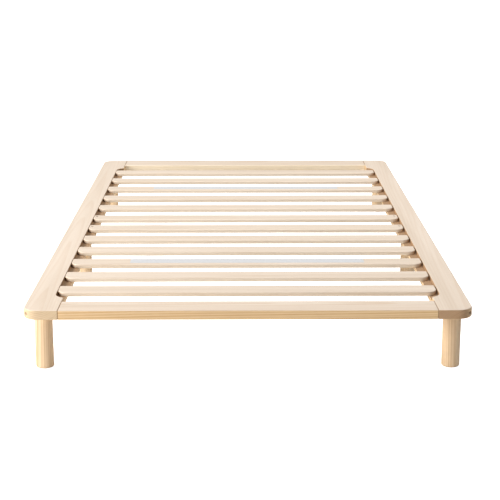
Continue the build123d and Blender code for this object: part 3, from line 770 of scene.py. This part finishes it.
def build(name, tree, values):
    """Runs a geometry tree with these named inputs and keeps its result as a plain mesh."""
    ob = bpy.data.objects.new(name, bpy.data.meshes.new(name + "_start"))
    bpy.context.scene.collection.objects.link(ob)
    modifier = ob.modifiers.new("build", "NODES")
    modifier.node_group = tree
    sockets = {item.name: item.identifier for item in tree.interface.items_tree
               if item.item_type == "SOCKET" and item.in_out == "INPUT"}
    for label, value in values.items():
        modifier[sockets[label]] = value
    evaluated = ob.evaluated_get(bpy.context.evaluated_depsgraph_get())
    mesh = bpy.data.meshes.new_from_object(evaluated)
    if not mesh.polygons:
        raise RuntimeError("the tree made no faces for " + name)
    mesh.name = name
    ob.modifiers.clear()
    ob.data = mesh
    return ob


# ---------------------------------------------------------------------------------------------
# Operators
# ---------------------------------------------------------------------------------------------
class BED_OT_finish_rails(bpy.types.Operator):
    """Give the side, foot and head rails their pine"""

    bl_idname = "bed.finish_rails"
    bl_label = "Finish Rails"

    def execute(self, context):
        side_x = box_centre("side_rail_right").x
        piths = {
            "side_rail_left": (-side_x - 0.012, 0.0, 0.235),
            "side_rail_right": (side_x + 0.055, 0.0, 0.085),
        }
        ends = {"side_rail_left": (PALE_END, 0.35), "side_rail_right": (None, 1.0)}
        for node, place in piths.items():
            end, end_strength = ends[node]
            # cuts=True adds the painted shade of the rebate and seams.
            material = pine_material(node + "_pine", place, "Y", 0.5, cuts=True,
                                     end=end, end_strength=end_strength)
            give(node, material)
        # The head rail takes its paler edge copy, painted brighter light on its sides.
        for node, height, strength, edge in (
            ("foot_rail", 0.240, 1.0, None), ("head_rail", 0.110, 0.8, HEAD_RAIL_LIT_EDGE),
        ):
            place = (0.4, box_centre(node).y + 0.02, height)
            material = pine_material(node + "_pine", place, "X", strength, cuts=True, edge=edge)
            give(node, material)
        return {"FINISHED"}


class BED_OT_build_slats(bpy.types.Operator):
    """Build the slats, eased and rounded, each on its own body"""

    bl_idname = "bed.build_slats"
    bl_label = "Build Slats"

    def execute(self, context):
        settings = context.scene.bed_slats
        # Painted light: slat tops take the paler sheen copy, sides and undersides the warm bounce copy.
        material = pine_material("slat_pine", (0, 0, 0), "X", 0.45, attribute="board_place",
                                 edge=SLAT_BOUNCE_EDGE)
        tree = slat_tree()
        for number, node in enumerate(SLAT_NAMES, 1):
            size = box_size(node)
            screws = "slat_screws_" + node[-2:]
            values = {
                "Length": size.x, "Width": size.y, "Thickness": size.z,
                "Foot Corner": settings.foot_corner, "Head Corner": settings.head_corner,
                "Arris": settings.arris, "Under Arris": settings.under_arris,
                "Corner Steps": settings.corner_steps, "Centre": box_centre(node),
                "Log Place": log_place(number), "Finish": material,
            }
            if screws in frame["nodes"]:
                low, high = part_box(screws)
                middle = (low + high) / 2 - box_centre(node)
                across = high.x - (high.y - low.y) / 2
                values.update({"Screwed": True, "Screw Place": (across, middle.y, 0.0)})
            slat = build(node + "_board", tree, values)
            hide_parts(node)
            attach(slat, BODY_OF[node])
        return {"FINISHED"}


def log_place(number):
    """Where in its log a slat was cut: every board gets its own stretch and its own pith."""
    turn = number * 2.4
    return Vector((number * 1.7, 0.05 * math.cos(turn), 0.035 + 0.03 * math.sin(turn * 1.3)))


class BED_OT_finish_legs(bpy.types.Operator):
    """Give the turned legs their pine"""

    bl_idname = "bed.finish_legs"
    bl_label = "Finish Legs"

    def execute(self, context):
        for number, node in enumerate(LEG_NAMES):
            centre = box_centre(node)
            turn = number * 1.9 + 0.6
            place = (centre.x + 0.05 * math.cos(turn), centre.y + 0.05 * math.sin(turn), number * 0.9)
            material = pine_material(node + "_pine", place, "Z", 0.9, faces=False, edge=TURNED_EDGE)
            give(node, material)
        return {"FINISHED"}


def shared_metal(name):
    """A metal, made the first time that it is asked for."""
    return bpy.data.materials.get(name) or metal_material(name, *METALS[name])


class BED_OT_finish_hardware(bpy.types.Operator):
    """Give bolts, nuts, inserts, pegs and dowels their finishes"""

    bl_idname = "bed.finish_hardware"
    bl_label = "Finish Hardware"

    def execute(self, context):
        beech = pine_material("beech", (0.0, 0.0, 0.5), "X", 0.3, faces=False)
        for node in (*NUT_NAMES, "leg_inserts"):
            give(node, shared_metal("zinc_plate"))
        for node in BOLT_NAMES:
            give(node, shared_metal("black_oxide"))
        for node in ("corner_dowels", "slat_pegs"):
            give(node, beech)
        return {"FINISHED"}


class BED_OT_build_screws(bpy.types.Operator):
    """Build the cross-head screws of the two fixed slats"""

    bl_idname = "bed.build_screws"
    bl_label = "Build Screws"

    def execute(self, context):
        tree = screw_tree(shared_thread())
        for node in SCREW_NAMES:
            low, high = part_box(node)
            head = (high.y - low.y) / 2
            height = tree.interface.items_tree["Head Height"].default_value
            centre = ((low.x + high.x) / 2, (low.y + high.y) / 2, high.z - height / 2)
            screws = build(node + "_pair", tree, {
                "Head Radius": head, "Length": high.z - low.z, "Spread": high.x - low.x - 2 * head,
                "Centre": centre, "Finish": shared_metal("black_oxide"),
            })
            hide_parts(node)
            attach(screws, BODY_OF[node])
        return {"FINISHED"}


class BED_OT_build_studs(bpy.types.Operator):
    """Build the threaded studs of the legs"""

    bl_idname = "bed.build_studs"
    bl_label = "Build Studs"

    def execute(self, context):
        tree = stud_tree(shared_thread())
        for node in STUD_NAMES:
            low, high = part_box(node)
            foot = ((low.x + high.x) / 2, (low.y + high.y) / 2, low.z)
            stud = build(node + "_thread", tree, {
                "Radius": (high.x - low.x) / 2, "Length": high.z - low.z, "Foot": foot,
                "Finish": shared_metal("zinc_plate"),
            })
            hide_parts(node)
            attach(stud, BODY_OF[node])
        return {"FINISHED"}


def shared_thread():
    return bpy.data.node_groups.get("Threaded Rod") or thread_tree()


class BED_OT_finish_labels(bpy.types.Operator):
    """Give the two blank labels their film"""

    bl_idname = "bed.finish_labels"
    bl_label = "Finish Labels"

    def execute(self, context):
        film = film_material("label_film")
        for node in LABEL_NAMES:
            give(node, film)
        return {"FINISHED"}


class BED_OT_set_stage(bpy.types.Operator):
    """Make the floor, the lights and the camera"""

    bl_idname = "bed.set_stage"
    bl_label = "Set Stage"

    def execute(self, context):
        stage = context.scene.bed_stage
        make_floor(stage)
        make_room(context.scene, stage)
        make_lights(stage)
        make_camera(context.scene, stage)
        return {"FINISHED"}


def make_floor(stage):
    half = FLOOR_HALF
    corners = [(-half, -half, 0), (half, -half, 0), (half, half, 0), (-half, half, 0)]
    mesh = bpy.data.meshes.new("floor")
    mesh.from_pydata(corners, [], [(0, 1, 2, 3)])
    floor = bpy.data.objects.new("floor", mesh)
    bpy.context.scene.collection.objects.link(floor)
    material, g = new_material("floor")
    seen = g.add("ShaderNodeLightPath").outputs["Is Camera Ray"]
    glow = g.ramp(seen, 0.0, 1.0, 0.0, stage.floor_glow, smooth=False)
    shader = g.add("ShaderNodeBsdfPrincipled", {
        "Base Color": FLOOR_GREY, "Roughness": 0.9, "Specular IOR Level": 0.0,
        "Emission Color": (1, 1, 1, 1), "Emission Strength": glow,
    })
    g.add("ShaderNodeOutputMaterial", {"Surface": shader.outputs[0]})
    mesh.materials.append(material)


def make_room(scene, stage):
    """A white room: plain white to the eye, dimmer as a source of light."""
    world = bpy.data.worlds.new("white_room")
    world.use_nodes = True
    world.node_tree.nodes.clear()
    g = Graph(world.node_tree)
    seen = g.add("ShaderNodeLightPath").outputs["Is Camera Ray"]
    strength = g.ramp(seen, 0.0, 1.0, stage.ambient, 1.0, smooth=False)
    back = g.add("ShaderNodeBackground", {"Color": (1, 1, 1, 1), "Strength": strength})
    g.add("ShaderNodeOutputWorld", {"Surface": back.outputs[0]})
    scene.world = world
    scene.view_settings.view_transform = "Standard"
    scene.view_settings.look = "None"


def make_lights(stage):
    for name, place, aim, size, power, colour in (
        ("key", (-3.6, -3.2, 1.4), (-0.2, -0.6, 0.1), 1.9, stage.key_power, (1.0, 0.97, 0.93)),
        ("side", (-6.4, 1.0, 5.4), (0.0, 0.0, 0.1), 1.6, stage.side_power, (1.0, 0.98, 0.96)),
        ("top", (1.1, 0.8, 3.2), (0.4, 0.1, 0.0), 2.4, stage.top_power, (1.0, 0.985, 0.97)),
    ):
        data = bpy.data.lights.new(name, "AREA")
        data.size = size
        data.energy = power
        data.color = colour
        lamp = bpy.data.objects.new(name, data)
        lamp.location = place
        lamp.rotation_euler = (Vector(aim) - Vector(place)).to_track_quat("-Z", "Y").to_euler()
        bpy.context.scene.collection.objects.link(lamp)


def make_camera(scene, stage):
    data = bpy.data.cameras.new("camera")
    data.lens = stage.lens
    data.clip_end = 200
    camera = bpy.data.objects.new("camera", data)
    foot_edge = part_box("foot_rail")[0].y
    camera.location = (stage.aside, foot_edge - stage.distance, stage.height)
    camera.rotation_euler = (math.pi / 2 - stage.pitch, 0.0, -stage.yaw)
    scene.collection.objects.link(camera)
    scene.camera = camera


OPERATORS = (
    BED_OT_set_stage, BED_OT_finish_rails, BED_OT_build_slats, BED_OT_finish_legs,
    BED_OT_finish_hardware, BED_OT_build_screws, BED_OT_build_studs, BED_OT_finish_labels,
)


class BED_PT_panel(bpy.types.Panel):
    """Settings and steps of the bed base."""

    bl_idname = "BED_PT_panel"
    bl_label = "Slatted Pine Bed Base"
    bl_space_type = "VIEW_3D"
    bl_region_type = "UI"
    bl_category = "Bed Base"

    def draw(self, context):
        for name, group in SETTINGS.items():
            box = self.layout.box()
            box.label(text=group.__name__.replace("Settings", ""))
            for prop in group.__annotations__:
                box.prop(getattr(context.scene, name), prop)
        for operator in OPERATORS:
            self.layout.operator(operator.bl_idname)


CLASSES = (*SETTINGS.values(), *OPERATORS, BED_PT_panel)


def register():
    for cls in CLASSES:
        bpy.utils.register_class(cls)
    for name, group in SETTINGS.items():
        setattr(bpy.types.Scene, name, PointerProperty(type=group))


def unregister():
    for name in SETTINGS:
        delattr(bpy.types.Scene, name)
    for cls in reversed(CLASSES):
        bpy.utils.unregister_class(cls)


def main():
    register()
    bpy.ops.bed.set_stage()
    bpy.ops.bed.finish_rails()
    bpy.ops.bed.build_slats()
    bpy.ops.bed.finish_legs()
    bpy.ops.bed.finish_hardware()
    bpy.ops.bed.build_screws()
    bpy.ops.bed.build_studs()
    bpy.ops.bed.finish_labels()


if __name__ == "__main__":
    main()
